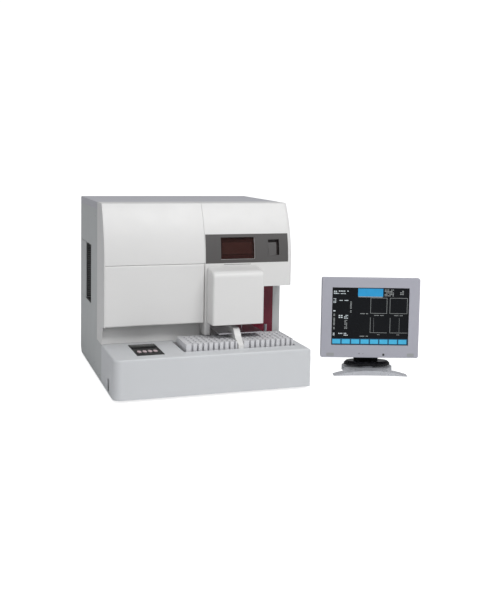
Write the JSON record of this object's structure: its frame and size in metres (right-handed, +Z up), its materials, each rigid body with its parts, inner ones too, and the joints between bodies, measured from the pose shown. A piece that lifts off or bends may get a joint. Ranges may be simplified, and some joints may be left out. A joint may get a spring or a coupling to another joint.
{
  "type": "hematology analyzer",
  "caption": "Benchtop hematology analyzer with rows of slotted sample racks under a hinged hood, a lift-up front door, a side service door and a separate tilting monitor.",
  "frame": {"origin": "on the bench, at the middle of the whole set's plan, analyser and monitor together", "axes": "+X to the right as seen from the front, towards the monitor; +Y to the back; +Z up"},
  "size_m": [1.2412, 0.79, 0.675],
  "materials": {
    "cover_white": "satin moulded",
    "casing_paint": "fine textured paint",
    "top_paint": "fine textured paint",
    "base_white": "satin moulded",
    "tray_steel": "powder coat",
    "zinc_steel": "zinc plated",
    "foot_rubber": "matt",
    "rack_tray_grey": "moulded",
    "rack_white": "moulded, faint lilac",
    "bridge_white": "smooth",
    "plate_grey": "satin anodised",
    "keypad_black": "gloss lens",
    "key_rose": "silicone",
    "band_grey": "satin",
    "window_tint": "tinted",
    "shield_tint": "tinted",
    "button_grey": "satin",
    "rail_steel": "ground",
    "carriage_alu": "machined",
    "rotor_grey": "moulded",
    "syringe_glass": "clear",
    "chamber_clear": "clear plastic",
    "valve_black": "moulded",
    "optics_black": "black anodised",
    "supply_grey": "folded sheet",
    "fan_black": "moulded",
    "switch_black": "smooth",
    "bezel_grey": "moulded",
    "screen_black": "display",
    "stand_black": "moulded",
    "stand_silver": "silver moulded"
  },
  "bodies": {
    "analyser": {"base_tray": "tray_steel", "rubber_feet": "foot_rubber", "base_housing": "base_white", "rack_tray": "rack_tray_grey", "centre_bridge": "bridge_white", "transfer_plate": "plate_grey", "keypad_panel": "keypad_black", "left_side_panel": "casing_paint", "right_side_panel": "casing_paint", "rear_panel": "casing_paint", "top_cover": "top_paint", "left_cheek": "cover_white", "upper_front_cover": "cover_white", "recess_panel": "cover_white", "head_cover": "cover_white", "fascia_band": "band_grey", "view_window": "window_tint", "tower_frame": "zinc_steel", "guide_rods": "rail_steel", "bay_shield": "shield_tint", "main_frame": "zinc_steel", "flow_panel": "zinc_steel", "syringe_barrels": "syringe_glass", "mixing_chambers": "chamber_clear", "pinch_valves": "valve_black", "optical_bench": "optics_black", "power_supply": "supply_grey", "fan_housing": "fan_black", "power_inlet": "switch_black"},
    "front_door": {"lower_front_door": "cover_white"},
    "tower_hood": {"tower_cover": "cover_white"},
    "service_door": {"side_service_door": "casing_paint"},
    "latch": {"latch_button": "button_grey"},
    "power_switch": {"power_rocker": "switch_black"},
    "left_row": {"rack_left_2": "rack_white", "rack_left_3": "rack_white", "rack_left_4": "rack_white", "rack_left_5": "rack_white"},
    "right_row": {"rack_right_2": "rack_white", "rack_right_3": "rack_white", "rack_right_4": "rack_white", "rack_right_5": "rack_white"},
    "left_front_rack": {"rack_left_1": "rack_white"},
    "right_front_rack": {"rack_right_1": "rack_white"},
    "probe": {"probe_carriage": "carriage_alu"},
    "rotor": {"mixing_rotor": "rotor_grey"},
    "fan": {"fan_rotor": "fan_black"},
    "monitor_stand": {"stand_base": "stand_silver"},
    "monitor_neck": {"stand_neck": "stand_black"},
    "monitor_head": {"monitor_bezel": "bezel_grey", "monitor_shell": "bezel_grey", "display_panel": "screen_black"},
    "monitor_button": {"display_button": "valve_black"},
    "key_1": {"keypad_key_1": "key_rose"},
    "key_2": {"keypad_key_2": "key_rose"},
    "key_3": {"keypad_key_3": "key_rose"},
    "key_4": {"keypad_key_4": "key_rose"},
    "plunger_1": {"syringe_plunger_1": "rail_steel"},
    "plunger_2": {"syringe_plunger_2": "rail_steel"},
    "plunger_3": {"syringe_plunger_3": "rail_steel"}
  },
  "joints": [
    {"name": "front_door_hinge", "type": "hinge", "parent": "analyser", "child": "front_door", "pos_m": [-0.43156, -0.1875, 0.4455], "axis": [-1, 0, 0], "range_deg": [0, 90]},
    {"name": "tower_hood_hinge", "type": "hinge", "parent": "analyser", "child": "tower_hood", "pos_m": [-0.13406, -0.2004, 0.43333], "axis": [-1, 0, 0], "range_deg": [0, 75]},
    {"name": "service_door_hinge", "type": "hinge", "parent": "analyser", "child": "service_door", "pos_m": [-0.61856, 0.3795, 0.38], "axis": [0, 0, -1], "range_deg": [0, 100]},
    {"name": "latch_push", "type": "slide", "parent": "analyser", "child": "latch", "axis": [0, 1, 0], "range_m": [0, 0.004], "stiffness_N_per_m": 400, "springref_m": -0.001},
    {"name": "power_switch_rock", "type": "hinge", "parent": "analyser", "child": "power_switch", "pos_m": [-0.61336, -0.2835, 0.04], "axis": [0, -1, 0], "range_deg": [0, 9]},
    {"name": "left_row_feed", "type": "slide", "parent": "analyser", "child": "left_row", "axis": [0, 1, 0], "range_m": [0, 0.0288]},
    {"name": "right_row_feed", "type": "slide", "parent": "analyser", "child": "right_row", "axis": [0, 1, 0], "range_m": [0, 0.0288]},
    {"name": "left_rack_lift", "type": "slide", "parent": "left_row", "child": "left_front_rack", "axis": [0, 0, 1], "range_m": [0, 0.06]},
    {"name": "right_rack_lift", "type": "slide", "parent": "right_row", "child": "right_front_rack", "axis": [0, 0, 1], "range_m": [0, 0.06]},
    {"name": "probe_lower", "type": "slide", "parent": "analyser", "child": "probe", "axis": [0, 0, -1], "range_m": [0, 0.045]},
    {"name": "rotor_turn", "type": "hinge", "parent": "analyser", "child": "rotor", "pos_m": [-0.23006, -0.2207, 0.319], "axis": [1, 0, 0], "range_deg": [-150, 150]},
    {"name": "fan_spin", "type": "hinge", "parent": "analyser", "child": "fan", "pos_m": [-0.47056, 0.375, 0.3], "axis": [0, 1, 0], "continuous": true},
    {"name": "monitor_place", "type": "slide", "parent": "analyser", "child": "monitor_stand", "axis": [1, 0, 0], "range_m": [0, 0.2]},
    {"name": "monitor_swivel", "type": "hinge", "parent": "monitor_stand", "child": "monitor_neck", "pos_m": [0.4476, -0.18653, 0.022], "axis": [0, 0, 1], "range_deg": [-35, 35]},
    {"name": "monitor_tilt", "type": "hinge", "parent": "monitor_neck", "child": "monitor_head", "pos_m": [0.45687, -0.158, 0.13], "axis": [-0.9511, 0.309, 0], "range_deg": [-5, 20]},
    {"name": "display_button_push", "type": "slide", "parent": "monitor_head", "child": "monitor_button", "axis": [0.309, 0.9511, 0], "range_m": [0, 0.0015], "stiffness_N_per_m": 300, "springref_m": -0.001},
    {"name": "key_1_press", "type": "slide", "parent": "analyser", "child": "key_1", "axis": [0, 0, -1], "range_m": [0, 0.0015], "stiffness_N_per_m": 300, "springref_m": -0.001},
    {"name": "key_2_press", "type": "slide", "parent": "analyser", "child": "key_2", "axis": [0, 0, -1], "range_m": [0, 0.0015], "stiffness_N_per_m": 300, "springref_m": -0.001},
    {"name": "key_3_press", "type": "slide", "parent": "analyser", "child": "key_3", "axis": [0, 0, -1], "range_m": [0, 0.0015], "stiffness_N_per_m": 300, "springref_m": -0.001},
    {"name": "key_4_press", "type": "slide", "parent": "analyser", "child": "key_4", "axis": [0, 0, -1], "range_m": [0, 0.0015], "stiffness_N_per_m": 300, "springref_m": -0.001},
    {"name": "plunger_1_draw", "type": "slide", "parent": "analyser", "child": "plunger_1", "axis": [0, 0, -1], "range_m": [0, 0.03]},
    {"name": "plunger_2_draw", "type": "slide", "parent": "analyser", "child": "plunger_2", "axis": [0, 0, -1], "range_m": [0, 0.03]},
    {"name": "plunger_3_draw", "type": "slide", "parent": "analyser", "child": "plunger_3", "axis": [0, 0, -1], "range_m": [0, 0.03]}
  ]
}
